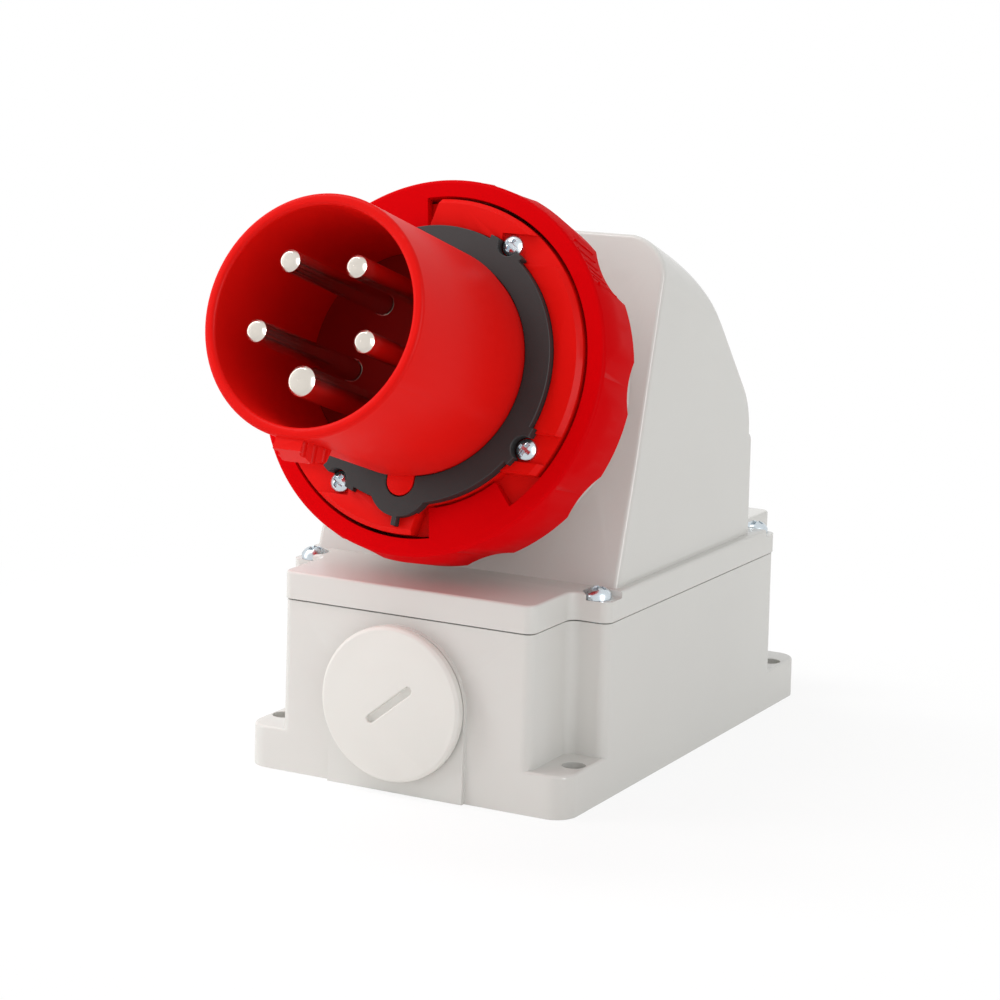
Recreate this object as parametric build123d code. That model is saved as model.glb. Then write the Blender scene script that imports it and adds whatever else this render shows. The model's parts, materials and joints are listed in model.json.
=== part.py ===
"""Surface-mounted pin and sleeve inlet, 32 A, five pins, with a bayonet coupling ring.

The frame is in millimetres with +Z up. Z = 0 is the mounting face and the origin is the centre
of the four foot holes. The inlet leans back and looks towards -Y. Its pieces are drawn in a
frame of their own: u to the right, v up the face, and t out along the inlet's axis, with t = 0
at the front face of the coupling ring. Angles there run counter-clockwise from +u.
"""
from build123d import *
from math import atan2, copysign, cos, degrees, hypot, radians, sin, sqrt, tan
import os

# Mounting box
box_half_width = 50.0          # at the parting line
box_half_depth = 80.2          # at the parting line
box_height = 49.0
box_wall = 3.0
box_floor = 3.0
box_draft = 0.5                # degrees
nose_setback = 22.6            # from the box's end to where its wider middle starts
waist_setback = 11.4           # of the narrower ends, between the feet
outline_fillet = 3.0
cavity_fillet = 2.0
foot_height = 12.0
foot_corner_radius = 6.5
foot_edge_fillet = 0.9
mounting_hole_inset_x = 4.0    # from the box's side
mounting_hole_inset_y = 12.4   # from the box's end
mounting_hole_radius = 3.25

# Lid and its seal
lid_overhang = 0.35            # past the box, all round
lid_edge_fillet = 0.8
parting_gap = 0.4
lid_thickness = 7.7
lid_top_wall = 3.0
seal_width = 1.4
seal_setback = 0.8             # from the inner edge of the wall
seal_groove_depth = 1.6
fit_clearance = 0.1            # round a screw, a seal or a plug in its seat

# Lid screws
lid_screw_inset_x = 5.0        # from the box's side
lid_screw_inset_y = 3.4        # from the end of the box's wider middle
lid_screw_radius = 2.5
lid_screw_length = 22.0
lid_screw_head_radius = 3.7
lid_screw_head_height = 3.6
lid_pocket_clearance = 0.4
lid_pocket_depth = 2.0

# Hood
lean = 18.2                    # degrees, of the face from upright and of the inlet above level
hood_setback_x = 2.1           # of its sides, at the lid
hood_low_draft = 0.4           # degrees, below the crease at the belt
hood_high_draft = 1.4          # degrees, above it
hood_wall = 3.2
hood_foot_y = -48.6            # where the face meets the lid
hood_face_length = 98.6
axis_up_face = 49.5
crown_start = 25.0             # slope in degrees where the crown leaves the face
crown_end = 50.0
crown_radius = 115.0
shoulder_radius = 20.0
hood_back_y = 41.4
belt_back_y = 44.6             # the thicker lower back
belt_height = 31.5             # above the lid
belt_fillet = 3.2
belt_corner_fillet = 4.0
face_corner_radius = 14.0      # at the top corners of the face
corner_slope = 21.0            # degrees, of the line on which that rounding runs back
crown_edge_fillet = 2.2
hood_edge_fillet = 1.5

# Neck that carries the inlet
neck_length = 32.2
neck_radius = 42.0
neck_bore = 36.0

# Inlet flange and sleeve
sleeve_radius = 31.5
sleeve_bore = 28.4
sleeve_length = 63.0
sleeve_foot_radius = 30.6
sleeve_foot_top = 4.2
sleeve_foot_blend = 8.5
sleeve_rim_fillet = 1.2
skirt_radius = 33.0
skirt_length = 8.0
flange_radius = 46.0
flange_web = 2.5
flange_seat_radius = 38.2
flange_rise = 2.0
flange_chamfer = 1.3
seat_depth = 1.4               # of the gasket's seat and the screw pockets
flange_gasket_thickness = 1.5
strip_outer_v = 26.1
slant_inner_angle = 279.2
slant_outer_angle = 275.4
flange_gap_reach = 6.0         # how far a lug gap's outline runs past the flange
pocket_width = 7.9
pocket_clearance = 0.4

# Key at six o'clock and the tab below it
key_half_width = 4.0
key_length = 15.5
key_nose_radius = 34.2
key_ridge_radius = 36.4
key_heel_radius = 34.6
key_nose_slope = 1.0           # along the axis, over each part of its outline
key_ridge_setback = 6.0
key_heel_slope = 2.0
flute_count = 3
flute_pitch = 5.0
flute_radius = 1.1
flute_setback = 2.0            # of the first flute from the front
tab_half_width = 4.0
tab_reach = 36.1

# Flange screws
flange_screw_pitch_radius = 39.5
flange_screw_angles = (60.0, 150.0, 240.0, 330.0)
flange_screw_radius = 1.5
flange_screw_length = 14.0
flange_screw_head_radius = 2.95
flange_screw_head_height = 2.4

# Face gasket
gasket_thickness = 3.5
gasket_radius = 38.0
gasket_bulge_radius = 9.2
gasket_bulge_v = -32.6
gasket_tail_reach = 44.2
gasket_tail_half_width = 0.7
gasket_tab_clearance = 0.3
gasket_head_clearance = 0.35
gasket_ear_radius = 6.0         # of the lobe beside each flange screw
gasket_ear_reach = 39.2

# Coupling ring
ring_gap = 1.0                 # round the flange
ring_wall = 5.1
ring_crest_rise = 0.7          # of the grip's crests over the front band
ring_back_drop = 1.2           # of the back edge under the crests
ring_band_depth = 3.5
ring_band_slope = 0.4          # how much narrower the band is at the front
ring_crest_run = 3.0           # along the axis, from the band to the crests
ring_front_fillet = 1.2
ring_shoulder = 3.0
ring_shoulder_reach = 3.8      # in from the bore
ring_travel = 11.0
ring_stop_gap = 0.5            # left between shoulder and flange at full travel
lug_inner_radius = 39.0
lug_thickness = 3.0
lug_start = 281.6
lug_sweep = 30.4
lug_gap = 0.3
grip_count = 10
grip_first_angle = 3.0
grip_radius = 26.0
grip_depth = 1.1
thumb_grip_angle = 39.0
thumb_grip_depth = 2.0
thumb_rib_count = 7
thumb_rib_pitch = 2.4
thumb_rib_radius = 0.35
thumb_rib_inset = 1.5

# Contacts
contact_pitch_radius = 16.63
earth_angle = 270.0
line_angles = (342.0, 54.0, 126.0)
neutral_angle = 198.0
line_pin_radius = 3.0
earth_pin_radius = 4.0
pin_recess = 0.3
pin_free_length = 50.0
pin_chamfer = 0.9
pin_collar = 0.25              # how much thicker a pin is in the carrier
barrel_radius = 5.5
barrel_length = 18.0
barrel_bore = 2.75
barrel_bore_depth = 14.0
terminal_screw_radius = 2.0
terminal_head_radius = 3.4
terminal_head_height = 2.2
terminal_screw_gap = 1.0       # from the screw's end to the barrel's middle

# Carrier that holds the contacts
carrier_clearance = 0.2
carrier_block_radius = 25.5
carrier_web = 24.0
carrier_block_length = 20.0
barrel_clearance = 0.6
cover_thickness = 3.0
cover_wire_hole = 4.4
cover_screw_offset = 5.0
cover_screw_radius = 1.25
cover_screw_length = 9.0
cover_screw_head_radius = 2.4
cover_screw_head_height = 1.8

# Cable entry
entry_x = -1.5
entry_height = 25.4
entry_radius = 16.0
entry_pad_radius = 21.2         # its arched top, and half its width below
entry_pad_rise = 1.4
plug_head_radius = 21.5
plug_head_height = 3.0
plug_chamfer = 0.8
plug_skirt_wall = 2.0
plug_skirt_length = 6.0
plug_seal_thickness = 0.8
plug_seal_radius = 20.2
plug_slot_width = 2.3
plug_slot_length = 17.0
plug_slot_depth = 1.4
plug_slot_angle = 39.0

# Screw heads, as shares of their radius and height
head_rim_share = 0.4
recess_arm_share = 0.62
recess_width_share = 0.18
recess_depth_share = 0.55

over = 1.0                     # how far a cutter runs past the face that it opens
tolerance = 0.05               # within which a point counts as on a face

# Levels and places that follow from the sizes above
nose_half_depth = box_half_depth - nose_setback
waist_half_width = box_half_width - waist_setback
mounting_half_pitch_x = box_half_width - mounting_hole_inset_x
mounting_half_pitch_y = box_half_depth - mounting_hole_inset_y
lid_screw_x = box_half_width - lid_screw_inset_x
lid_screw_y = nose_half_depth - lid_screw_inset_y
hood_half_width = box_half_width - hood_setback_x
lid_base = box_height + parting_gap
lid_top = lid_base + lid_thickness
belt_top = lid_top + belt_height
ring_bore = flange_radius + ring_gap
ring_band_radius = ring_bore + ring_wall
ring_crest_radius = ring_band_radius + ring_crest_rise
ring_back_radius = ring_crest_radius - ring_back_drop
gap_floor = -lug_thickness
flange_back = gap_floor - flange_web
ring_depth = ring_travel + ring_stop_gap + ring_shoulder - flange_back
neck_end = flange_back - flange_gasket_thickness
seat_level = flange_rise - seat_depth
pocket_level = seat_level
hood_face_level = neck_end - neck_length
carrier_front = sleeve_length - pin_recess - pin_free_length
carrier_step = carrier_front - carrier_web
carrier_back = carrier_step - carrier_block_length
gasket_face = seat_level + gasket_thickness

lean_sin = sin(radians(lean))
lean_cos = cos(radians(lean))
face_centre_y = hood_foot_y + axis_up_face * lean_sin
face_centre_z = lid_top + axis_up_face * lean_cos
face_top_y = hood_foot_y + hood_face_length * lean_sin
face_top_z = lid_top + hood_face_length * lean_cos
inlet_frame = Plane(
    origin=(0, face_centre_y + hood_face_level * lean_cos,
            face_centre_z - hood_face_level * lean_sin),
    x_dir=(1, 0, 0),
    z_dir=(0, -lean_cos, lean_sin),
)


def polar(radius, angle):
    """Point at a radius and an angle in degrees."""
    return (radius * cos(radians(angle)), radius * sin(radians(angle)))


def disc(radius, low, high, centre=(0, 0)):
    """Cylinder along t between two levels."""
    return Pos(centre[0], centre[1], low) * Cylinder(
        radius, high - low, align=(Align.CENTER, Align.CENTER, Align.MIN)
    )


def slab(u_range, v_range, t_range):
    """Box between pairs of limits."""
    low = (u_range[0], v_range[0], t_range[0])
    size = (u_range[1] - u_range[0], v_range[1] - v_range[0], t_range[1] - t_range[0])
    return Pos(*low) * Box(*size, align=(Align.MIN, Align.MIN, Align.MIN))


def turned(*points):
    """Solid turned about the Z axis from (radius, height) points."""
    profile = make_face(Polyline(*[(radius, 0, height) for radius, height in points], close=True))
    return revolve(profile, Axis.Z)


def pan_head_screw(shank_radius, shank_length, head_radius, head_height):
    """Cross-recessed screw along +Z with its head's underside at Z = 0."""
    dome = (1 - head_rim_share) * head_height
    dome_radius = (head_radius**2 + dome**2) / (2 * dome)
    head = disc(head_radius, 0, head_height) & (
        Pos(0, 0, head_height - dome_radius) * Sphere(dome_radius)
    )
    screw = head + disc(shank_radius, -shank_length, 0)
    arm = recess_arm_share * head_radius
    width = recess_width_share * head_radius
    floor = (1 - recess_depth_share) * head_height
    for half_u, half_v in ((arm, width), (width, arm)):
        screw -= slab((-half_u, half_u), (-half_v, half_v), (floor, head_height + over))
    return screw


def cross_outline(half_width, half_depth, waist, nose, radius):
    """Plan of the box: a wide middle with narrower ends, its corners rounded."""
    sketch = Rectangle(2 * half_width, 2 * nose) + Rectangle(2 * waist, 2 * half_depth)
    return fillet(sketch.vertices(), radius)


def box_plan(grow=0.0):
    """Outer plan of the box and lid, grown or shrunk all round."""
    return cross_outline(box_half_width + grow, box_half_depth + grow, waist_half_width + grow,
                         nose_half_depth + grow, outline_fillet)


def cavity_plan(grow=0.0):
    """Plan of the space inside, which passes inside the four screw columns."""
    column = lid_screw_radius + fit_clearance + seal_setback + seal_width + box_wall
    return cross_outline(
        box_half_width - box_wall + grow, box_half_depth - box_wall + grow,
        waist_half_width - box_wall + grow, lid_screw_y - column + grow, cavity_fillet,
    )


def corners(x, y):
    """The four points symmetric about both axes."""
    return [(x, y), (-x, y), (-x, -y), (x, -y)]


def make_back_box():
    """Lower box with feet, screw columns and the cable entry."""
    flare = box_height * tan(radians(box_draft))
    body = extrude(box_plan(flare), box_height, taper=box_draft)
    foot_plan = RectangleRounded(
        2 * (box_half_width + flare), 2 * (box_half_depth + flare), foot_corner_radius
    )
    feet = extrude(foot_plan, foot_height, taper=box_draft)
    body += fillet(feet.faces().sort_by(Axis.Z)[-1].edges(), foot_edge_fillet)
    body += entry_pad()
    body -= Pos(0, 0, box_floor) * extrude(cavity_plan(), box_height)
    for x, y in corners(mounting_half_pitch_x, mounting_half_pitch_y):
        body -= disc(mounting_hole_radius, -over, foot_height + over, (x, y))
    for x, y in corners(lid_screw_x, lid_screw_y):
        reach = lid_top - lid_pocket_depth - lid_screw_length - over
        body -= disc(lid_screw_radius + fit_clearance, reach, box_height + over, (x, y))
    body -= entry_frame() * disc(entry_radius, -2 * box_wall, over)
    return body


def entry_pad():
    """Arched pad on the front of the box, with the drafted face that the plug seats on."""
    arch = Circle(entry_pad_radius) + Pos(0, -entry_height / 2) * Rectangle(
        2 * entry_pad_radius, entry_height
    )
    depth = entry_pad_rise + box_wall / 2
    pad = entry_frame() * extrude(arch, -depth)
    room = slab((-box_half_width, box_half_width), (-2 * box_half_depth, 0), (0, box_height))
    return pad & room


def entry_frame():
    """Location on the pad's drafted face at the cable entry, looking out of the box."""
    flare = (box_height - entry_height) * tan(radians(box_draft))
    return Plane(
        origin=(entry_x, -(box_half_depth + flare + entry_pad_rise), entry_height),
        x_dir=(1, 0, 0),
        z_dir=(0, -cos(radians(box_draft)), sin(radians(box_draft))),
    ).location


def seal_ring(grow, low, high):
    """Closed band between the cavity and the outer wall."""
    band = cavity_plan(seal_setback + seal_width + grow) - cavity_plan(seal_setback - grow)
    return Pos(0, 0, low) * extrude(band, high - low)


def make_box_gasket():
    """Seal between the box and the lid."""
    return seal_ring(0, box_height, lid_base + seal_groove_depth)


def hood_profile():
    """Side view of the hood in Y and Z, as a face across X = 0: face, crown, shoulder and back."""
    start = (face_top_y, face_top_z)
    turn_a, turn_b = radians(crown_start), radians(crown_end)
    arc_end = (start[0] + crown_radius * (sin(turn_b) - sin(turn_a)),
               start[1] - crown_radius * (cos(turn_a) - cos(turn_b)))
    turn_m = (turn_a + turn_b) / 2
    arc_mid = (start[0] + crown_radius * (sin(turn_m) - sin(turn_a)),
               start[1] - crown_radius * (cos(turn_a) - cos(turn_m)))
    line_end_y = hood_back_y - shoulder_radius * (1 - sin(turn_b))
    line_end = (line_end_y, arc_end[1] - (line_end_y - arc_end[0]) * tan(turn_b))
    back_top = (hood_back_y, line_end[1] - shoulder_radius * cos(turn_b))
    half_turn = (turn_b + radians(90)) / 2
    centre = (hood_back_y - shoulder_radius, back_top[1])
    back_mid = (centre[0] + shoulder_radius * sin(half_turn),
                centre[1] + shoulder_radius * cos(half_turn))
    foot = (hood_foot_y - (lid_top - lid_base) * lean_sin / lean_cos, lid_base)
    edges = [
        Line(foot, start),
        ThreePointArc(start, arc_mid, arc_end),
        Line(arc_end, line_end),
        ThreePointArc(line_end, back_mid, back_top),
        Line(back_top, (hood_back_y, lid_base)),
        Line((hood_back_y, lid_base), foot),
    ]
    return make_face(Wire(edges))


def side_x(z):
    """Half width of the hood at a height, with its two drafts."""
    low = min(z, belt_top) - lid_top
    high = max(z - belt_top, 0)
    return hood_half_width - low * tan(radians(hood_low_draft)) - high * tan(radians(hood_high_draft))


def drafted_block(y_low, y_high, z_high, inset=0.0):
    """Block across the hood's width whose sides lean in with its drafts."""
    heights = [lid_base, belt_top]
    if z_high > belt_top:
        heights.append(z_high)
    right = [(side_x(z) - inset, z) for z in heights]
    left = [(-x, z) for x, z in reversed(right)]
    block = extrude(make_face(Polyline(*right, *left, close=True)), y_high - y_low)
    return Pos(0, y_high, 0) * Rot(90, 0, 0) * block


def corner_cutters(inset=0.0):
    """Solids that round the hood's top corners, and fade out as the crown drops below them."""
    draft, slope = radians(hood_high_draft), radians(corner_slope)
    radius = face_corner_radius - inset
    start_y = face_top_y - face_corner_radius
    centre_z = face_top_z - face_corner_radius + face_corner_radius * tan(slope)
    centre_x = side_x(centre_z) - face_corner_radius / cos(draft)
    corner = Pos(centre_x, centre_z + radius * sin(draft)) * Rectangle(
        2 * radius, 2 * radius, align=(Align.MIN, Align.MIN)
    )
    region = Plane.XZ.offset(-start_y) * (corner - Pos(centre_x, centre_z) * Circle(radius))
    run = Vector(sin(slope) * tan(draft), cos(slope), -sin(slope))
    cutter = extrude(region, 2 * box_half_depth, dir=run)
    return [cutter, mirror(cutter, Plane.YZ)]


def hood_core(inset=0.0):
    """Body of the hood with its rounded top corners, or the space inside it."""
    profile = hood_profile()
    if inset:
        profile = offset(profile, amount=-inset, kind=Kind.INTERSECTION)
    across = Plane.YZ.offset(-box_half_width) * extrude(profile, 2 * box_half_width)
    core = across & drafted_block(-box_half_depth, box_half_depth, face_top_z + over, inset)
    for cutter in corner_cutters(inset):
        core -= cutter
    return core


def above_face(point):
    """How far a point of the hood stands behind the plane of its face."""
    return (point.Y - hood_foot_y) * lean_cos - (point.Z - lid_top) * lean_sin


def is_on_face(edge):
    """True for an edge that lies in the plane of the hood's face, above the lid."""
    on_plane = all(abs(above_face(edge @ share)) < tolerance for share in (0, 0.5, 1))
    return on_plane and (edge @ 0.5).Z > lid_top


def is_ridge(edge):
    """True for the curved edges that run back along the sides of the crown."""
    return edge.geom_type == GeomType.BSPLINE and not is_on_face(edge)


def make_hood():
    """Lid and hood in one moulding, with the neck for the inlet."""
    lid = Pos(0, 0, lid_base) * extrude(box_plan(lid_overhang), lid_thickness)
    lid = fillet(lid.faces().sort_by(Axis.Z)[-1].edges(), lid_edge_fillet)
    core = hood_core()
    core = fillet([e for e in core.edges() if is_ridge(e)], crown_edge_fillet)
    core = fillet([e for e in core.edges() if is_on_face(e)], hood_edge_fillet)
    belt = drafted_block(0, belt_back_y, belt_top)
    upright = [e for e in belt.edges().filter_by(Axis.Z, tolerance=5) if (e @ 0.5).Y > hood_back_y]
    belt = fillet(upright, belt_corner_fillet)
    rim = [e for e in belt.faces().sort_by(Axis.Z)[-1].edges() if (e @ 0.5).Y > hood_back_y]
    belt = fillet(rim, belt_fillet)
    hood = lid + core + belt
    hood -= hood_core(hood_wall)
    hood -= Pos(0, 0, lid_base - over) * extrude(cavity_plan(), lid_thickness - lid_top_wall + over)
    hood += inlet_frame.location * disc(neck_radius, hood_face_level - hood_wall, neck_end)
    hood -= inlet_frame.location * disc(neck_bore, hood_face_level - 3 * hood_wall, neck_end + over)
    hood -= seal_ring(fit_clearance, lid_base - over, lid_base + seal_groove_depth)
    for x, y in corners(lid_screw_x, lid_screw_y):
        hood -= screw_notch(x, y)
        hood -= disc(lid_screw_radius + fit_clearance, lid_base - over, lid_top, (x, y))
    for angle in flange_screw_angles:
        centre = polar(flange_screw_pitch_radius, angle)
        pilot = disc(flange_screw_radius + fit_clearance, pocket_level - flange_screw_length - over,
                     neck_end + over, centre)
        hood -= inlet_frame.location * pilot
    return hood


def screw_notch(x, y):
    """Seat of a lid screw's head, open at the side of the lid."""
    radius = lid_screw_head_radius + lid_pocket_clearance
    low, high = lid_top - lid_pocket_depth, lid_top + over
    outside = copysign(box_half_width + 2 * lid_overhang, x)
    return disc(radius, low, high, (x, y)) + slab(
        sorted((x, outside)), (y - radius, y + radius), (low, high)
    )


def make_lid_screws():
    """Four pan head screws in the lid's corner pockets."""
    screw = pan_head_screw(
        lid_screw_radius, lid_screw_length, lid_screw_head_radius, lid_screw_head_height
    )
    places = [Pos(x, y, lid_top - lid_pocket_depth) for x, y in corners(lid_screw_x, lid_screw_y)]
    return Compound(children=[place * screw for place in places])


def flange_gap():
    """Space in the flange for one lug of the ring, at the lower right."""
    inner = Vector(*polar(flange_seat_radius, slant_inner_angle))
    outer = Vector(*polar(flange_radius, slant_outer_angle))
    along = (outer - inner).normalized()
    start = inner - along * flange_gap_reach
    end = outer + along * flange_gap_reach
    far = flange_radius + flange_gap_reach
    outline = Polyline((start.X, start.Y), (end.X, end.Y), (far, -far), (far, -strip_outer_v),
                       (start.X + 2 * flange_gap_reach, -strip_outer_v), close=True)
    region = make_face(outline) - Circle(flange_seat_radius)
    return Pos(0, 0, gap_floor) * extrude(region, flange_rise - gap_floor + over)


def screw_channels():
    """Shallow pockets of the flange screws, open at the flange's edge."""
    far = flange_radius + over
    reach = flange_screw_head_radius + pocket_clearance
    channels = []
    for angle in flange_screw_angles:
        u, v = polar(flange_screw_pitch_radius, angle)
        across, outward = copysign(1, u), copysign(1, v)
        u_limits = sorted((u - across * reach, across * far))
        v_limits = sorted((v + outward * reach, v + outward * (reach - pocket_width)))
        channels.append(slab(u_limits, v_limits, (pocket_level, flange_rise + over)))
    return channels


def both_ways(shape):
    """A shape and its copy half a turn round."""
    return [shape, Rot(0, 0, 180) * shape]


def gasket_plan(grow=0.0):
    """Outer plan of the face gasket with its ears, bulge and tail."""
    plan = Circle(gasket_radius + grow)
    plan += Pos(0, gasket_bulge_v) * Circle(gasket_bulge_radius + grow)
    for angle in flange_screw_angles:
        lobe = Pos(*polar(flange_screw_pitch_radius, angle)) * Circle(gasket_ear_radius + grow)
        plan += lobe & Circle(gasket_ear_reach + grow)
    tail = Rectangle(2 * (gasket_tail_half_width + grow), gasket_tail_reach + grow,
                     align=(Align.CENTER, Align.MAX))
    return plan + tail


def tab_plan(grow=0.0):
    """Plan of the tab at the foot of the sleeve."""
    half = tab_half_width + grow
    reach = tab_reach - tab_half_width
    return Pos(0, -reach / 2) * Rectangle(2 * half, reach) + Pos(0, -reach) * Circle(half)


def key_solid():
    """Key on the underside of the mouth, with flutes in its flanks."""
    front = sleeve_length
    back = front - key_length
    inside = (sleeve_bore + sleeve_radius) / 2
    side = Polyline(
        (-inside, front - key_nose_slope), (-key_nose_radius, front),
        (-key_ridge_radius, front - key_ridge_setback), (-key_heel_radius, back + key_heel_slope),
        (-inside, back), close=True,
    )
    profile = Plane.YZ.offset(-key_half_width) * make_face(side)
    key = extrude(profile, 2 * key_half_width)
    for index in range(flute_count):
        t = front - flute_setback - index * flute_pitch
        for u in (-key_half_width, key_half_width):
            key -= Pos(u, -sleeve_radius, t) * Rot(90, 0, 0) * Cylinder(
                flute_radius, key_ridge_radius, align=(Align.CENTER, Align.CENTER, Align.MIN)
            )
    return key


def make_inlet_sleeve():
    """Sleeve, key, flange and rear skirt in one moulding."""
    skirt_end = flange_back - skirt_length
    sleeve = turned(
        (sleeve_bore, skirt_end), (skirt_radius, skirt_end), (skirt_radius, flange_back),
        (flange_radius, flange_back), (flange_radius, flange_rise - flange_chamfer),
        (flange_radius - flange_chamfer, flange_rise), (flange_seat_radius, flange_rise),
        (flange_seat_radius, seat_level), (sleeve_foot_radius, seat_level),
        (sleeve_foot_radius, sleeve_foot_top), (sleeve_radius, sleeve_foot_blend),
        (sleeve_radius, sleeve_length), (sleeve_bore, sleeve_length),
    )
    rim = sleeve.edges().filter_by(GeomType.CIRCLE).group_by(Axis.Z)[-1]
    sleeve = fillet(rim, sleeve_rim_fillet)
    for gap in both_ways(flange_gap()):
        sleeve -= gap
    for channel in screw_channels():
        sleeve -= channel
    seat = gasket_plan(fit_clearance) - Circle(sleeve_bore)
    foot = Circle((sleeve_foot_radius + sleeve_bore) / 2)
    sleeve -= Pos(0, 0, seat_level) * extrude(seat - foot, flange_rise)
    tab = tab_plan() - foot
    sleeve += Pos(0, 0, gap_floor) * extrude(tab, gasket_face - gap_floor)
    sleeve += key_solid()
    for angle in flange_screw_angles:
        centre = polar(flange_screw_pitch_radius, angle)
        sleeve -= disc(flange_screw_radius + 2 * fit_clearance, flange_back - over,
                       flange_rise + over, centre)
    return inlet_frame.location * sleeve


def make_flange_gasket():
    """Flat seal between the flange and the end of the neck."""
    ring = disc(neck_radius, neck_end, flange_back) - disc(
        neck_bore, neck_end - over, flange_back + over
    )
    for angle in flange_screw_angles:
        centre = polar(flange_screw_pitch_radius, angle)
        ring -= disc(flange_screw_radius + 2 * fit_clearance, neck_end - over,
                     flange_back + over, centre)
    return inlet_frame.location * ring


def make_flange_screws():
    """Four pan head screws that hold the inlet to the neck."""
    screw = pan_head_screw(
        flange_screw_radius, flange_screw_length, flange_screw_head_radius, flange_screw_head_height
    )
    screws = []
    for angle in flange_screw_angles:
        u, v = polar(flange_screw_pitch_radius, angle)
        screws.append(inlet_frame.location * Pos(u, v, pocket_level) * Rot(0, 0, angle) * screw)
    return Compound(children=screws)


def make_face_gasket():
    """Gasket round the foot of the sleeve that the connector presses on."""
    plan = gasket_plan() - Circle(sleeve_foot_radius + fit_clearance)
    plan -= tab_plan(gasket_tab_clearance)
    gasket = Pos(0, 0, seat_level) * extrude(plan, gasket_thickness)
    for angle in flange_screw_angles:
        centre = polar(flange_screw_pitch_radius, angle)
        gasket -= disc(flange_screw_head_radius + gasket_head_clearance, seat_level - over,
                       gasket_face + over, centre)
    return inlet_frame.location * gasket


def make_coupling_ring():
    """Bayonet ring with two lugs, a rear shoulder and a scalloped grip."""
    back = -ring_depth
    shoulder_bore = ring_bore - ring_shoulder_reach
    ring = turned(
        (ring_bore, 0), (ring_band_radius - ring_band_slope, 0),
        (ring_band_radius, -ring_band_depth),
        (ring_crest_radius, -ring_band_depth - ring_crest_run), (ring_back_radius, back),
        (shoulder_bore, back), (shoulder_bore, back + ring_shoulder),
        (ring_bore, back + ring_shoulder),
    )
    front = ring.edges().filter_by(GeomType.CIRCLE).group_by(Axis.Z)[-1]
    ring = fillet(front.sort_by(SortBy.RADIUS)[-1], ring_front_fillet)
    for index in range(grip_count):
        angle = grip_first_angle + index * 360.0 / grip_count
        is_thumb = abs(angle - thumb_grip_angle) < 1
        hollow = grip_hollow(angle, thumb_grip_depth if is_thumb else grip_depth)
        ring -= hollow * disc(grip_radius, -2 * ring_depth, 0)
        if is_thumb:
            ring += thumb_ribs(hollow)
    lug = Pos(0, 0, -lug_thickness + lug_gap) * extrude(lug_plan(), lug_thickness - lug_gap)
    for each in both_ways(lug):
        ring += each
    return inlet_frame.location * ring


def grip_hollow(angle, depth):
    """Place of one hollow's cutter, which follows the taper of the ring."""
    taper = degrees(atan2(ring_crest_radius - ring_back_radius,
                          ring_depth - ring_band_depth - ring_crest_run))
    reach = ring_crest_radius - depth + grip_radius
    return Rot(0, 0, angle) * Pos(reach, 0, -ring_band_depth) * Rot(0, taper, 0)


def thumb_ribs(hollow):
    """Fine ribs along the deeper hollow."""
    length = ring_depth - ring_band_depth - 2 * thumb_rib_inset
    ribs = []
    for index in range(thumb_rib_count):
        across = (index - (thumb_rib_count - 1) / 2) * thumb_rib_pitch
        inward = sqrt(grip_radius**2 - across**2)
        rib = disc(thumb_rib_radius, -thumb_rib_inset - length, -thumb_rib_inset,
                   (-inward, across))
        ribs.append(hollow * rib)
    return ribs


def lug_plan():
    """Plan of one bayonet lug, whose outer edge is sunk in the ring."""
    outer = ring_bore + ring_wall / 4
    end = lug_start + lug_sweep
    middle = lug_start + lug_sweep / 2
    edges = [
        Line(polar(lug_inner_radius, lug_start), polar(outer, lug_start)),
        ThreePointArc(polar(outer, lug_start), polar(outer, middle), polar(outer, end)),
        Line(polar(outer, end), polar(lug_inner_radius, end)),
        ThreePointArc(polar(lug_inner_radius, end), polar(lug_inner_radius, middle),
                      polar(lug_inner_radius, lug_start)),
    ]
    return make_face(Wire(edges))


def make_contact_carrier():
    """Insulating block that holds the five contacts in the sleeve."""
    carrier = disc(sleeve_bore - carrier_clearance, carrier_step, carrier_front)
    carrier += disc(carrier_block_radius, carrier_back, carrier_step)
    pocket = barrel_radius + barrel_clearance
    for angle in contact_angles():
        place = Rot(0, 0, angle) * Pos(contact_pitch_radius, 0, 0)
        bore = contact_radius(angle) + pin_collar + fit_clearance / 2
        carrier -= place * disc(bore, carrier_back, carrier_front + over)
        carrier -= place * disc(pocket, carrier_back - over, carrier_step)
        carrier -= place * slab((0, contact_pitch_radius), (-pocket, pocket),
                                (carrier_back - over, carrier_step))
    for u in (-cover_screw_offset, cover_screw_offset):
        carrier -= disc(cover_screw_radius + fit_clearance, carrier_back - over,
                        carrier_back - cover_thickness + cover_screw_length + over, (u, 0))
    return inlet_frame.location * carrier


def contact_angles():
    """Angles of all five contacts, earth first."""
    return (earth_angle,) + line_angles + (neutral_angle,)


def contact_radius(angle):
    """Radius of the pin at an angle."""
    return earth_pin_radius if angle == earth_angle else line_pin_radius


def make_pin(angle):
    """Solid pin with a terminal barrel behind the carrier's web."""
    radius = contact_radius(angle)
    tip = sleeve_length - pin_recess
    end = carrier_step - barrel_length
    pin = turned(
        (0, tip), (radius - pin_chamfer, tip), (radius, tip - pin_chamfer),
        (radius, carrier_front), (radius + pin_collar, carrier_front),
        (radius + pin_collar, carrier_step), (barrel_radius, carrier_step), (barrel_radius, end),
        (0, end),
    )
    pin -= disc(barrel_bore, end - over, end + barrel_bore_depth)
    pin -= Pos(0, 0, terminal_level()) * Rot(0, 90, 0) * disc(
        terminal_screw_radius + fit_clearance / 2, 0, 2 * barrel_radius
    )
    return inlet_frame.location * Rot(0, 0, angle) * Pos(contact_pitch_radius, 0, 0) * pin


def terminal_level():
    """Level of the clamp screws in the barrels."""
    return carrier_step - barrel_length + barrel_bore_depth / 2


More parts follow.
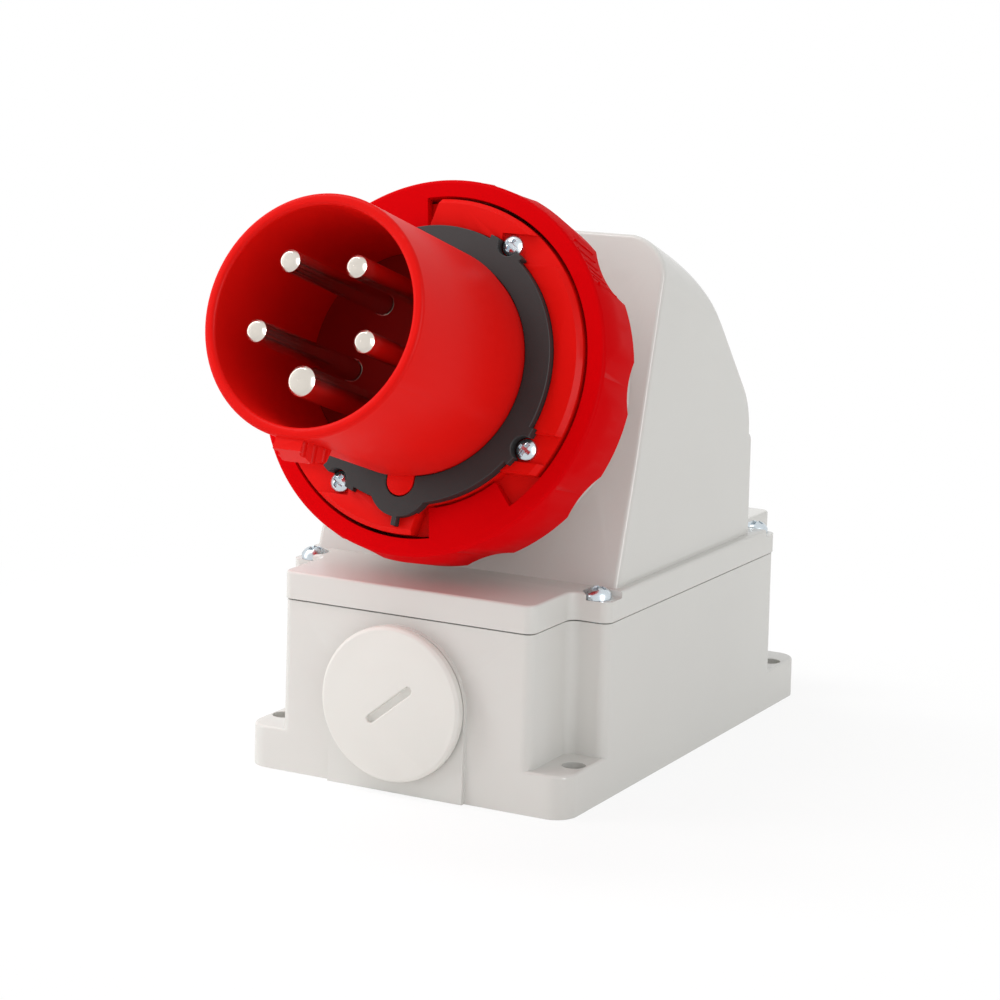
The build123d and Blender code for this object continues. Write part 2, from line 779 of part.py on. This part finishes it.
def make_terminal_screws():
    """One clamp screw in each barrel, driven from outside."""
    length = barrel_radius - terminal_screw_gap
    screw = pan_head_screw(terminal_screw_radius, length, terminal_head_radius, terminal_head_height)
    seat = contact_pitch_radius + barrel_radius + fit_clearance
    outward = Pos(seat, 0, terminal_level()) * Rot(0, 90, 0)
    return Compound(children=[
        inlet_frame.location * Rot(0, 0, angle) * outward * screw for angle in contact_angles()
    ])


def make_carrier_cover():
    """Plate behind the carrier that keeps the contacts in."""
    cover = disc(carrier_block_radius, carrier_back - cover_thickness, carrier_back)
    for angle in contact_angles():
        place = Rot(0, 0, angle) * Pos(contact_pitch_radius, 0, 0)
        cover -= place * disc(cover_wire_hole, carrier_back - cover_thickness - over,
                              carrier_back + over)
    for u in (-cover_screw_offset, cover_screw_offset):
        cover -= disc(cover_screw_radius + fit_clearance, carrier_back - cover_thickness - over,
                      carrier_back + over, (u, 0))
    return inlet_frame.location * cover


def make_cover_screws():
    """Two screws that hold the cover to the carrier."""
    screw = pan_head_screw(cover_screw_radius, cover_screw_length, cover_screw_head_radius,
                           cover_screw_head_height)
    return Compound(children=[
        inlet_frame.location * Pos(u, 0, carrier_back - cover_thickness) * Rot(180, 0, 0) * screw
        for u in (-cover_screw_offset, cover_screw_offset)
    ])


def make_entry_plug():
    """Blanking plug screwed into the cable entry, with a coin slot."""
    head_top = plug_seal_thickness + plug_head_height
    head = disc(plug_head_radius, plug_seal_thickness, head_top)
    head = chamfer(head.faces().sort_by(Axis.Z)[-1].edges(), plug_chamfer)
    radius = entry_radius - fit_clearance
    plug = head + disc(radius, -plug_skirt_length, plug_seal_thickness)
    plug -= disc(radius - plug_skirt_wall, -plug_skirt_length - over, 0)
    slot = Rot(0, 0, plug_slot_angle) * SlotOverall(plug_slot_length, plug_slot_width)
    plug -= Pos(0, 0, head_top - plug_slot_depth) * extrude(slot, plug_slot_depth + over)
    return entry_frame() * plug


def make_entry_plug_seal():
    """Flat seal under the head of the blanking plug."""
    seal = disc(plug_seal_radius, 0, plug_seal_thickness)
    return entry_frame() * (seal - disc(entry_radius, -over, plug_seal_thickness + over))


def build():
    """All pieces by name."""
    parts = {
        "back_box": make_back_box(),
        "box_gasket": make_box_gasket(),
        "hood": make_hood(),
        "lid_screws": make_lid_screws(),
        "entry_plug": make_entry_plug(),
        "entry_plug_seal": make_entry_plug_seal(),
        "inlet_sleeve": make_inlet_sleeve(),
        "flange_gasket": make_flange_gasket(),
        "flange_screws": make_flange_screws(),
        "face_gasket": make_face_gasket(),
        "coupling_ring": make_coupling_ring(),
        "contact_carrier": make_contact_carrier(),
        "carrier_cover": make_carrier_cover(),
        "cover_screws": make_cover_screws(),
        "terminal_screws": make_terminal_screws(),
        "neutral_pin": make_pin(neutral_angle),
        "earth_pin": make_pin(earth_angle),
    }
    for index, angle in enumerate(line_angles):
        parts[f"line_pin_{index + 1}"] = make_pin(angle)
    return parts


os.makedirs("parts", exist_ok=True)
for name, part in build().items():
    export_step(part, f"parts/{name}.step")
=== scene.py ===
"""A red pin and sleeve inlet on its grey wiring box, dressed for a studio picture.

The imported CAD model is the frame. Each operator below finishes one group of its parts, and the
last one sets the stage. All sizes are in metres in that model's own frame, where the box stands
on its mounting face, the inlet looks towards -Y and +X is on the right.
"""
import json
import math

import bmesh
import bpy
from bpy.props import FloatProperty, FloatVectorProperty, PointerProperty
from mathutils import Matrix, Quaternion, Vector


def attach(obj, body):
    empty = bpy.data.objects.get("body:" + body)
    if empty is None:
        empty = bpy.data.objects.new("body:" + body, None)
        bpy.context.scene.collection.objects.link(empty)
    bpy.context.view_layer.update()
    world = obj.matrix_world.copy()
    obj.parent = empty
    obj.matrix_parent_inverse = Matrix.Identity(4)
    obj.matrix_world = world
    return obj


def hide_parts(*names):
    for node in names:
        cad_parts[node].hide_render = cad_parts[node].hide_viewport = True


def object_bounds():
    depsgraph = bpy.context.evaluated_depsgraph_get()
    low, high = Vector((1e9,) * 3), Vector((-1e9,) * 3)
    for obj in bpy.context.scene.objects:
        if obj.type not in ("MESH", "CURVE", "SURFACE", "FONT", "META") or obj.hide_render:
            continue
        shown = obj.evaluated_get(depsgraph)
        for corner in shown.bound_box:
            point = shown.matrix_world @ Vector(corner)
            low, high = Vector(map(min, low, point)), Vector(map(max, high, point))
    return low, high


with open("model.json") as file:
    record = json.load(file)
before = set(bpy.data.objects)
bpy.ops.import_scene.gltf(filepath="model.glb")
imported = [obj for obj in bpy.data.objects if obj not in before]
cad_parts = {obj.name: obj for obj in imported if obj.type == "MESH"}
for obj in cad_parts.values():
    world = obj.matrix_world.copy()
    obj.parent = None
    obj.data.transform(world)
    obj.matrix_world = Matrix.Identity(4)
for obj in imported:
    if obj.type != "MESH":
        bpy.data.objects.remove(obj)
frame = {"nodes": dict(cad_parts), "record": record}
cad_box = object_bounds()

bl_info = {
    "name": "Pin and Sleeve Inlet",
    "version": (1, 0, 0),
    "blender": (4, 5, 0),
    "location": "View3D > Sidebar > Inlet",
    "description": "Finishes the inlet's parts and sets its studio",
    "category": "Object",
}

MM = 0.001  # One millimetre in metres
SAME_POINT = 0.001 * MM  # Points nearer to each other than this are one
NEAR = 0.01 * MM  # A point this near to a radius or a height lies on it
FLAT = math.radians(0.5)  # Facets that meet at less than this are one face
SHARP = math.radians(40)  # An edge that turns by more than this is a corner
TURNING_STEPS = 64  # Facets round a turned pin


def linear(hex_colour):
    """An sRGB hex value as linear RGB."""
    channels = [int(hex_colour[start:start + 2], 16) / 255 for start in (1, 3, 5)]
    return [c / 12.92 if c <= 0.04045 else ((c + 0.055) / 1.055) ** 2.4 for c in channels]


def size_prop(name, description, default):
    """A length in metres that the sidebar shows with its unit."""
    return FloatProperty(name=name, description=description, default=default, min=0.0,
                         precision=5, subtype="DISTANCE", unit="LENGTH")


def colour_prop(name, description, default):
    """A colour, given as an sRGB hex value."""
    return FloatVectorProperty(name=name, description=description, default=linear(default),
                               min=0.0, max=1.0, size=3, subtype="COLOR")


class InletFinishes(bpy.types.PropertyGroup):
    """Colours and surface sizes of the moulded, turned and plated parts."""
    housing: colour_prop("Housing grey", "Moulded ABS of the box and hood", "#D6D5D1")
    plug: colour_prop("Plug grey", "Moulded polythene of the entry plug", "#DDDCD7")
    sleeve: colour_prop("Sleeve red", "Moulded polyamide of the sleeve and flange", "#DC100B")
    ring: colour_prop("Ring red", "Moulded polyamide of the coupling ring", "#CF0208")
    # The carrier red is darker than the sleeve red as painted shade, for the shade deep inside
    # the sleeve
    carrier: colour_prop("Carrier red", "Moulded polyamide of the contact carrier", "#820906")
    rubber: colour_prop("Seal black", "EPDM rubber of the seals", "#211F1F")
    nickel: colour_prop("Nickel", "Nickel plate on the brass contacts", "#D6CFC6")
    zinc: colour_prop("Zinc", "Zinc plate on the steel screws", "#C9D2D8")
    edge: size_prop("Moulded edge", "Radius that a mould leaves on a sharp corner", 0.4 * MM)
    lip: size_prop("Rubber edge", "Radius on the edges of the face gasket", 0.25 * MM)
    burr: size_prop("Screw edge", "Radius on the edges of a screw's head", 0.12 * MM)
    # The real grain and tool marks are finer, and are drawn as coarse as they need to show
    grain: size_prop("Grain", "Pitch of the spark-eroded grain on moulded faces", 0.45 * MM)
    turning: size_prop("Turning marks", "Pitch of the tool marks on a turned pin", 0.25 * MM)


class InletPins(bpy.types.PropertyGroup):
    """Sizes of the turned contact pins that all five share."""
    chamfer: size_prop("Chamfer", "Width of the chamfer at the tip", 0.9 * MM)
    rounding: size_prop("Rounding", "Radius that polishing leaves on the edges", 0.15 * MM)
    dimple: size_prop("Dimple", "Depth of the mark that turning leaves in the tip", 0.05 * MM)
    dimple_radius: size_prop("Dimple radius", "Radius of that mark", 0.5 * MM)
    web: size_prop("Web", "Thickness of the carrier's web round the pin", 24.0 * MM)
    collar: size_prop("Collar", "How far the pin is thicker where the web holds it", 0.25 * MM)
    barrel_radius: size_prop("Barrel radius", "Radius of the terminal barrel", 5.5 * MM)
    barrel_length: size_prop("Barrel length", "Length of the terminal barrel", 18.0 * MM)


class InletStudio(bpy.types.PropertyGroup):
    """Where the camera stands and how strong the lamps are."""
    azimuth: FloatProperty(name="Azimuth", description="Camera's way round the inlet",
                           default=math.radians(27.97), subtype="ANGLE", unit="ROTATION")
    elevation: FloatProperty(name="Elevation", description="Camera's height above the horizon",
                             default=math.radians(9.60), subtype="ANGLE", unit="ROTATION")
    roll: FloatProperty(name="Roll", description="Camera's lean to one side",
                        default=math.radians(1.50), subtype="ANGLE", unit="ROTATION")
    stand: FloatVectorProperty(name="Stand", description="Where the camera stands",
                               default=(0.36345, -0.71269, 0.22307), size=3,
                               subtype="TRANSLATION", unit="LENGTH")
    lens: FloatProperty(name="Lens", description="Focal length on a 36 mm sensor",
                        default=99.76, unit="CAMERA")
    shift: FloatProperty(name="Shift", description="Vertical shift of the picture",
                         default=-0.0659)
    key: FloatProperty(name="Key lamp", description="Power of the soft box at the front left",
                       default=3.2, subtype="POWER", unit="POWER")
    top: FloatProperty(name="Top lamp", description="Power of the soft box overhead",
                       default=8.0, subtype="POWER", unit="POWER")
    fill: FloatProperty(name="Fill lamp", description="Power of the soft box at the right",
                        default=0.8, subtype="POWER", unit="POWER")
    strip: FloatProperty(name="Strip lamp", description="Power of the strip that lines the edges",
                         default=10.0, subtype="POWER", unit="POWER")
    room: FloatProperty(name="Room light", description="Strength of the light all round",
                        default=0.72, min=0.0)
    floor: colour_prop("Floor", "Pale paper sweep under the inlet", "#FBFBFA")


# Materials


def add_node(tree, kind, inputs=None, **settings):
    """Adds one node, with its settings and with values or other nodes' outputs on its inputs."""
    made = tree.nodes.new(kind)
    for name, value in settings.items():
        setattr(made, name, value)
    for name, value in (inputs or {}).items():
        if isinstance(value, bpy.types.NodeSocket):
            tree.links.new(value, made.inputs[name])
        else:
            made.inputs[name].default_value = value
    return made


def new_material(name):
    """An empty material with its tree, and the place of each point on the part."""
    material = bpy.data.materials.new(name)
    material.use_nodes = True
    tree = material.node_tree
    tree.nodes.clear()
    place = add_node(tree, "ShaderNodeTexCoord").outputs["Object"]
    return material, tree, place


def per(length):
    """A texture scale whose pattern repeats about once in this length."""
    return 1.0 / length


def shades(colour, share):
    """A darker and a lighter shade of a colour, each off by this share of it."""
    dark = [c * (1 - share) for c in colour] + [1.0]
    light = [min(c * (1 + share), 1.0) for c in colour] + [1.0]
    return dark, light


def moulded_plastic(name, colour, grain, roughness, mirror, depth, flow):
    """Moulded plastic: a fine eroded grain over a colour and gloss that drift a little.

    Mirror is how strongly the skin reflects, depth is how deep the grain is, and flow is the
    length over which the melt's colour and gloss drift.
    """
    material, tree, place = new_material(name)
    drift = add_node(tree, "ShaderNodeTexNoise",
                     {"Vector": place, "Scale": per(flow), "Detail": 3.0}).outputs["Fac"]
    relief = add_node(tree, "ShaderNodeTexNoise",
                      {"Vector": place, "Scale": per(grain), "Detail": 2.0,
                       "Roughness": 0.6}).outputs["Fac"]
    bump = add_node(tree, "ShaderNodeBump",
                    {"Strength": 0.35, "Distance": depth, "Height": relief})
    dark, light = shades(colour, share=0.025)
    tint = add_node(tree, "ShaderNodeMix", {"Factor": drift, "A": dark, "B": light},
                    data_type="RGBA")
    gloss = add_node(tree, "ShaderNodeMapRange",
                     {"Value": drift, "To Min": roughness - 0.04, "To Max": roughness + 0.04})
    shader = add_node(tree, "ShaderNodeBsdfPrincipled", {
        "Base Color": tint.outputs["Result"],
        "Roughness": gloss.outputs["Result"],
        "IOR": 1.53,
        "Specular IOR Level": mirror,
        "Normal": bump.outputs["Normal"],
    })
    add_node(tree, "ShaderNodeOutputMaterial", {"Surface": shader.outputs["BSDF"]})
    return material


def soft_rubber(name, colour):
    """EPDM rubber: nearly black, matt, with a dusty bloom that lightens it in patches."""
    patch = 6 * MM  # Size of a patch of bloom
    pores = 0.5 * MM  # Pitch of the skin's pores, drawn as coarse as they need to show
    material, tree, place = new_material(name)
    bloom = add_node(tree, "ShaderNodeTexNoise",
                     {"Vector": place, "Scale": per(patch), "Detail": 5.0}).outputs["Fac"]
    skin = add_node(tree, "ShaderNodeTexNoise",
                    {"Vector": place, "Scale": per(pores), "Detail": 2.0}).outputs["Fac"]
    bump = add_node(tree, "ShaderNodeBump",
                    {"Strength": 0.5, "Distance": 0.04 * MM, "Height": skin})
    dark, light = shades(colour, share=0.18)
    tint = add_node(tree, "ShaderNodeMix", {"Factor": bloom, "A": dark, "B": light},
                    data_type="RGBA")
    gloss = add_node(tree, "ShaderNodeMapRange", {"Value": bloom, "To Min": 0.52, "To Max": 0.68})
    shader = add_node(tree, "ShaderNodeBsdfPrincipled", {
        "Base Color": tint.outputs["Result"],
        "Roughness": gloss.outputs["Result"],
        "IOR": 1.5,
        "Normal": bump.outputs["Normal"],
    })
    add_node(tree, "ShaderNodeOutputMaterial", {"Surface": shader.outputs["BSDF"]})
    return material


def plated_metal(name, colour, roughness, depth, pitch):
    """Plated metal: satin, with fine marks of a depth and pitch, and a plate duller in places."""
    patch = 3 * MM  # Size of a place where the plate is duller
    material, tree, place = new_material(name)
    patches = add_node(tree, "ShaderNodeTexNoise",
                       {"Vector": place, "Scale": per(patch), "Detail": 4.0}).outputs["Fac"]
    marks = add_node(tree, "ShaderNodeTexNoise",
                     {"Vector": place, "Scale": per(pitch), "Detail": 1.0}).outputs["Fac"]
    bump = add_node(tree, "ShaderNodeBump",
                    {"Strength": 0.3, "Distance": depth, "Height": marks})
    dark, light = shades(colour, share=0.05)
    tint = add_node(tree, "ShaderNodeMix", {"Factor": patches, "A": dark, "B": light},
                    data_type="RGBA")
    gloss = add_node(tree, "ShaderNodeMapRange",
                     {"Value": patches, "To Min": roughness - 0.05, "To Max": roughness + 0.07})
    shader = add_node(tree, "ShaderNodeBsdfPrincipled", {
        "Base Color": tint.outputs["Result"],
        "Metallic": 1.0,
        "Roughness": gloss.outputs["Result"],
        "Normal": bump.outputs["Normal"],
    })
    add_node(tree, "ShaderNodeOutputMaterial", {"Surface": shader.outputs["BSDF"]})
    return material


# Parts


def dress(material, *nodes):
    """Gives CAD nodes their finish."""
    for name in nodes:
        for place in frame["nodes"][name].material_slots:
            place.material = material


def new_piece(name, form, material, body, slot, *nodes):
    """A finished piece in the frame, which stands for CAD nodes of its body."""
    mesh = bpy.data.meshes.new(name)
    form.to_mesh(mesh)
    form.free()
    mesh.materials.append(material)
    mesh.shade_smooth()
    mesh.set_sharp_from_angle(angle=SHARP)
    piece = bpy.data.objects.new(name, mesh)
    bpy.context.scene.collection.objects.link(piece)
    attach(piece, body)
    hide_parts(*nodes)
    return piece


def turned(profile):
    """A closed form turned about Z from points (radius, height), the first and last on Z."""
    form = bmesh.new()
    points = [form.verts.new((radius, 0.0, height)) for radius, height in profile]
    lines = [form.edges.new(pair) for pair in zip(points, points[1:])]
    bmesh.ops.spin(form, geom=points + lines, cent=(0, 0, 0), axis=(0, 0, 1), dvec=(0, 0, 0),
                   angle=math.tau, steps=TURNING_STEPS, use_merge=True)
    bmesh.ops.remove_doubles(form, verts=form.verts, dist=SAME_POINT)
    bmesh.ops.recalc_face_normals(form, faces=form.faces)
    return form


def round_off(form, radius, heights, size):
    """Rounds the edges whose points all lie at a radius from Z and at one of the heights."""
    def is_there(vert):
        on_radius = abs(math.hypot(vert.co.x, vert.co.y) - radius) < NEAR
        return on_radius and any(abs(vert.co.z - height) < NEAR for height in heights)
    ring = [edge for edge in form.edges if all(is_there(vert) for vert in edge.verts)]
    bmesh.ops.bevel(form, geom=ring, offset=size, offset_type="OFFSET", affect="EDGES",
                    segments=3, profile=0.5, material=-1, clamp_overlap=True)


def mount_place(name):
    """Place and sizes of a round mount, with Z along its axis and X across the inlet."""
    mount = next(each for each in frame["record"]["mounts"] if each["name"] == name)
    out, across = Vector(mount["axis"]), Vector((1, 0, 0))
    turn = Matrix((across, out.cross(across), out)).transposed().to_4x4()
    return Matrix.Translation(mount["pos_m"]) @ turn, mount["dims"]


def softened(name, node, material, body, slot, radius):
    """A copy of a CAD node with the small radius on its edges that its mould or tool leaves."""
    form = bmesh.new()
    form.from_mesh(frame["nodes"][node].data)
    bmesh.ops.remove_doubles(form, verts=form.verts, dist=SAME_POINT)
    bmesh.ops.dissolve_limit(form, angle_limit=FLAT, verts=form.verts, edges=form.edges)
    piece = new_piece(name, form, material, body, slot, node)
    edges = piece.modifiers.new("edge_radius", "BEVEL")
    edges.limit_method = "ANGLE"
    edges.angle_limit = SHARP
    edges.width = radius
    edges.segments = 2
    edges.harden_normals = True


class InletGreyHousing(bpy.types.Operator):
    """Finish the wiring box and the hood on it"""
    bl_idname = "inlet.grey_housing"
    bl_label = "Grey housing"

    def execute(self, context):
        settings = context.scene.inlet_finishes
        # Moulded ABS: a light, slightly warm grey with a satin grain that spreads highlights
        abs_grey = moulded_plastic("moulded_abs_light_grey", settings.housing, settings.grain,
                                   roughness=0.24, mirror=0.3, depth=0.02 * MM, flow=45 * MM)
        softened("box_moulding", "back_box", abs_grey, "housing", "grey_housing", settings.edge)
        softened("hood_moulding", "hood", abs_grey, "housing", "grey_housing", settings.edge)
        return {"FINISHED"}


class InletEntryPlug(bpy.types.Operator):
    """Finish the plug that closes the cable entry"""
    bl_idname = "inlet.entry_plug"
    bl_label = "Entry plug"

    def execute(self, context):
        settings = context.scene.inlet_finishes
        # Moulded polythene: paler and waxier than the ABS, with soft broad highlights
        polythene = moulded_plastic("moulded_polythene_pale_grey", settings.plug, settings.grain,
                                    roughness=0.52, mirror=0.4, depth=0.03 * MM, flow=30 * MM)
        softened("blanking_plug", "entry_plug", polythene, "housing", "grey_plug", settings.edge)
        return {"FINISHED"}


class InletSleeve(bpy.types.Operator):
    """Finish the red sleeve, its flange and the carrier in it"""
    bl_idname = "inlet.sleeve"
    bl_label = "Sleeve and carrier"

    def execute(self, context):
        settings = context.scene.inlet_finishes
        # Moulded polyamide: strong signal red with a satin skin and clear edge highlights
        polyamide = moulded_plastic("moulded_polyamide_signal_red", settings.sleeve,
                                    settings.grain, roughness=0.40, mirror=0.06,
                                    depth=0.02 * MM, flow=40 * MM)
        softened("sleeve_moulding", "inlet_sleeve", polyamide, "housing", "red_housing",
                 settings.edge)
        # Glass-filled polyamide: duller and rougher from the fibres at its skin, in a red
        # darkened as painted shade for the carrier's place deep inside the sleeve
        filled_with_painted_shade = moulded_plastic("glass_filled_polyamide_red_painted_shade", settings.carrier, settings.grain,
                                 roughness=0.50, mirror=0.08, depth=0.04 * MM, flow=15 * MM)
        dress(filled_with_painted_shade, "contact_carrier", "carrier_cover")
        return {"FINISHED"}


class InletCouplingRing(bpy.types.Operator):
    """Finish the bayonet coupling ring"""
    bl_idname = "inlet.coupling_ring"
    bl_label = "Coupling ring"

    def execute(self, context):
        settings = context.scene.inlet_finishes
        # Moulded polyamide: a deeper red than the sleeve, with even less of the room mirrored
        polyamide = moulded_plastic("moulded_polyamide_deep_red", settings.ring, settings.grain,
                                    roughness=0.44, mirror=0.01, depth=0.02 * MM, flow=40 * MM)
        softened("ring_moulding", "coupling_ring", polyamide, "coupling_ring", "red_ring",
                 settings.edge)
        return {"FINISHED"}


class InletSeals(bpy.types.Operator):
    """Finish the rubber seals"""
    bl_idname = "inlet.seals"
    bl_label = "Seals"

    def execute(self, context):
        settings = context.scene.inlet_finishes
        # EPDM rubber: matt black that greys a little where its bloom has come out
        rubber = soft_rubber("moulded_epdm_black", settings.rubber)
        dress(rubber, "box_gasket", "flange_gasket", "entry_plug_seal")
        softened("rubber_face_gasket", "face_gasket", rubber, "housing", "face_seal",
                 settings.lip)
        return {"FINISHED"}


class InletContacts(bpy.types.Operator):
    """Finish the five contact pins"""
    bl_idname = "inlet.contacts"
    bl_label = "Contact pins"

    def execute(self, context):
        settings = context.scene.inlet_finishes
        # Nickel-plated brass, turned: a warm satin silver that mirrors the red round it
        nickel = plated_metal("nickel_plated_brass_turned", settings.nickel, roughness=0.22,
                              depth=0.01 * MM, pitch=settings.turning)
        for node in ("earth_pin", "neutral_pin", "line_pin_1", "line_pin_2", "line_pin_3"):
            self.turn_pin(node, nickel, context.scene.inlet_pins)
        return {"FINISHED"}

    def turn_pin(self, node, nickel, sizes):
        """One solid pin, from its rounded tip to the barrel behind the carrier."""
        place, dims = mount_place(node + "_tip")
        radius, half = dims["r_mm"] * MM, dims["length_mm"] * MM / 2
        tip = half + sizes.chamfer
        shoulder = -half - sizes.web
        end = shoulder - sizes.barrel_length
        collar = radius + sizes.collar
        # The collar starts a little way inside the carrier, so that its front never shows
        seat = -half - 2 * sizes.collar
        form = turned([
            (0.0, tip - sizes.dimple), (sizes.dimple_radius, tip - sizes.dimple),
            (sizes.dimple_radius + sizes.dimple, tip), (radius - sizes.chamfer, tip),
            (radius, half), (radius, seat), (collar, seat), (collar, shoulder),
            (sizes.barrel_radius, shoulder), (sizes.barrel_radius, end), (0.0, end),
        ])
        round_off(form, radius - sizes.chamfer, [tip], sizes.rounding)
        round_off(form, radius, [half], sizes.rounding)
        round_off(form, sizes.barrel_radius, [shoulder, end], sizes.rounding)
        bmesh.ops.transform(form, matrix=place, verts=form.verts)
        new_piece(node + "_turned", form, nickel, "housing", "nickel_contact", node)


class InletScrews(bpy.types.Operator):
    """Finish the screws of the lid, the flange, the cover and the terminals"""
    bl_idname = "inlet.screws"
    bl_label = "Screws"

    def execute(self, context):
        settings = context.scene.inlet_finishes
        # Zinc-plated steel, bright passivated: a cool bluish silver with a soft sparkle
        zinc = plated_metal("zinc_plated_steel_blue", settings.zinc, roughness=0.26,
                            depth=0.006 * MM, pitch=0.6 * MM)
        dress(zinc, "cover_screws", "terminal_screws")
        for node in ("lid_screws", "flange_screws"):
            softened(node + "_struck", node, zinc, "housing", "zinc_screw", settings.burr)
        return {"FINISHED"}


# Stage


def soft_box(name, power, target, place, width, height):
    """A rectangular area lamp that looks at the target from its place."""
    lamp = bpy.data.lights.new(name, "AREA")
    lamp.shape = "RECTANGLE"
    lamp.size, lamp.size_y = width, height
    lamp.energy = power
    stand = bpy.data.objects.new(name, lamp)
    stand.location = place
    stand.rotation_mode = "QUATERNION"
    stand.rotation_quaternion = (Vector(place) - Vector(target)).to_track_quat("Z", "Y")
    bpy.context.scene.collection.objects.link(stand)
    return stand


def seen_directly(tree):
    """1 for the camera's own rays and for those that were mirrored or let through."""
    path = add_node(tree, "ShaderNodeLightPath")
    mirrored = add_node(tree, "ShaderNodeMath",
                        {0: path.outputs["Is Camera Ray"], 1: path.outputs["Is Glossy Ray"]},
                        operation="MAXIMUM").outputs[0]
    return add_node(tree, "ShaderNodeMath",
                    {0: mirrored, 1: path.outputs["Is Transmission Ray"]},
                    operation="MAXIMUM").outputs[0]


class InletStage(bpy.types.Operator):
    """Set the camera, the lamps, the room and the floor"""
    bl_idname = "inlet.stage"
    bl_label = "Stage"

    def execute(self, context):
        studio = context.scene.inlet_studio
        self.set_camera(context.scene, studio)
        centre = (cad_box[0] + cad_box[1]) / 2
        soft_box("key_soft_box", studio.key, centre, place=(-1.00, -0.70, 0.45),
                 width=0.40, height=0.9)
        soft_box("top_soft_box", studio.top, centre, place=(-0.65, -0.30, 1.20),
                 width=0.30, height=0.9)
        soft_box("fill_soft_box", studio.fill, centre, place=(1.05, -0.60, 0.40),
                 width=0.15, height=0.8)
        # Only lines the edges with a reflection, as a strip light behind a grid does
        strip = soft_box("edge_strip", studio.strip, centre, place=(1.03, -0.50, 0.38),
                         width=0.12, height=0.8)
        strip.visible_diffuse = False
        self.set_room(context.scene, studio)
        self.lay_floor(context.scene, studio)
        context.scene.view_settings.view_transform = "Standard"
        return {"FINISHED"}

    def set_camera(self, scene, studio):
        """The camera stands where the picture was taken from."""
        lens = bpy.data.cameras.new("camera")
        lens.lens = studio.lens
        lens.shift_y = studio.shift
        camera = bpy.data.objects.new("camera", lens)
        level = math.cos(studio.elevation)
        back = Vector((math.sin(studio.azimuth) * level, -math.cos(studio.azimuth) * level,
                       math.sin(studio.elevation)))
        camera.rotation_mode = "QUATERNION"
        camera.rotation_quaternion = (back.to_track_quat("Z", "Y")
                                      @ Quaternion((0, 0, 1), studio.roll))
        camera.location = studio.stand
        scene.collection.objects.link(camera)
        scene.camera = camera

    def set_room(self, scene, studio):
        """White where the camera sees it, and a plain soft light on the inlet."""
        world = bpy.data.worlds.new("studio_room")
        world.use_nodes = True
        tree = world.node_tree
        tree.nodes.clear()
        strength = add_node(tree, "ShaderNodeMapRange",
                            {"Value": seen_directly(tree), "To Min": studio.room, "To Max": 1.0})
        room = add_node(tree, "ShaderNodeBackground",
                        {"Color": (1.0, 1.0, 1.0, 1.0), "Strength": strength.outputs["Result"]})
        add_node(tree, "ShaderNodeOutputWorld", {"Surface": room.outputs["Background"]})
        scene.world = world

    def lay_floor(self, scene, studio):
        """A pale paper floor that goes over to the white background away from the inlet."""
        half = 2.0  # Half the floor's width
        near, far = 0.12, 0.28  # Distances between which the paper goes over to white
        haze = 0.84  # Share of white over the paper nearer than that, which keeps shadows weak
        material, tree, place = new_material("white_paper_floor")
        reach = add_node(tree, "ShaderNodeVectorMath", {0: place}, operation="LENGTH")
        fade = add_node(tree, "ShaderNodeMapRange",
                        {"Value": reach.outputs["Value"], "From Min": near, "From Max": far,
                         "To Min": haze},
                        interpolation_type="SMOOTHSTEP").outputs["Result"]
        white = add_node(tree, "ShaderNodeMath", {0: fade, 1: seen_directly(tree)},
                         operation="MULTIPLY").outputs[0]
        paper = add_node(tree, "ShaderNodeBsdfPrincipled",
                         {"Base Color": [*studio.floor, 1.0], "Roughness": 0.9})
        glow = add_node(tree, "ShaderNodeEmission", {"Color": (1.0, 1.0, 1.0, 1.0)})
        both = add_node(tree, "ShaderNodeMixShader",
                        {0: white, 1: paper.outputs["BSDF"], 2: glow.outputs["Emission"]})
        add_node(tree, "ShaderNodeOutputMaterial", {"Surface": both.outputs["Shader"]})
        mesh = bpy.data.meshes.new("floor")
        corners = [(-half, -half, 0), (half, -half, 0), (half, half, 0), (-half, half, 0)]
        mesh.from_pydata(corners, [], [(0, 1, 2, 3)])
        mesh.materials.append(material)
        floor = bpy.data.objects.new("floor", mesh)
        scene.collection.objects.link(floor)


class InletPanel(bpy.types.Panel):
    """Lists the inlet's finishes and its steps"""
    bl_idname = "VIEW3D_PT_inlet"
    bl_label = "Inlet"
    bl_space_type = "VIEW_3D"
    bl_region_type = "UI"
    bl_category = "Inlet"

    def draw(self, context):
        scene = context.scene
        for group in (scene.inlet_finishes, scene.inlet_pins, scene.inlet_studio):
            column = self.layout.column()
            for name in group.bl_rna.properties.keys():
                if name not in ("rna_type", "name"):
                    column.prop(group, name)
        for operator in OPERATORS:
            self.layout.operator(operator.bl_idname)


OPERATORS = (InletGreyHousing, InletEntryPlug, InletSleeve, InletCouplingRing, InletSeals,
             InletContacts, InletScrews, InletStage)
GROUPS = (InletFinishes, InletPins, InletStudio)


def register():
    """Adds the classes, and the settings on the scene."""
    for kind in (*GROUPS, *OPERATORS, InletPanel):
        bpy.utils.register_class(kind)
    bpy.types.Scene.inlet_finishes = PointerProperty(type=InletFinishes)
    bpy.types.Scene.inlet_pins = PointerProperty(type=InletPins)
    bpy.types.Scene.inlet_studio = PointerProperty(type=InletStudio)


def unregister():
    """Takes away what register adds."""
    del bpy.types.Scene.inlet_studio
    del bpy.types.Scene.inlet_pins
    del bpy.types.Scene.inlet_finishes
    for kind in reversed((*GROUPS, *OPERATORS, InletPanel)):
        bpy.utils.unregister_class(kind)


def main():
    """Registers the classes, then dresses the parts and sets the stage."""
    register()
    for operator in OPERATORS:
        group, name = operator.bl_idname.split(".")
        getattr(getattr(bpy.ops, group), name)()


if __name__ == "__main__":
    main()
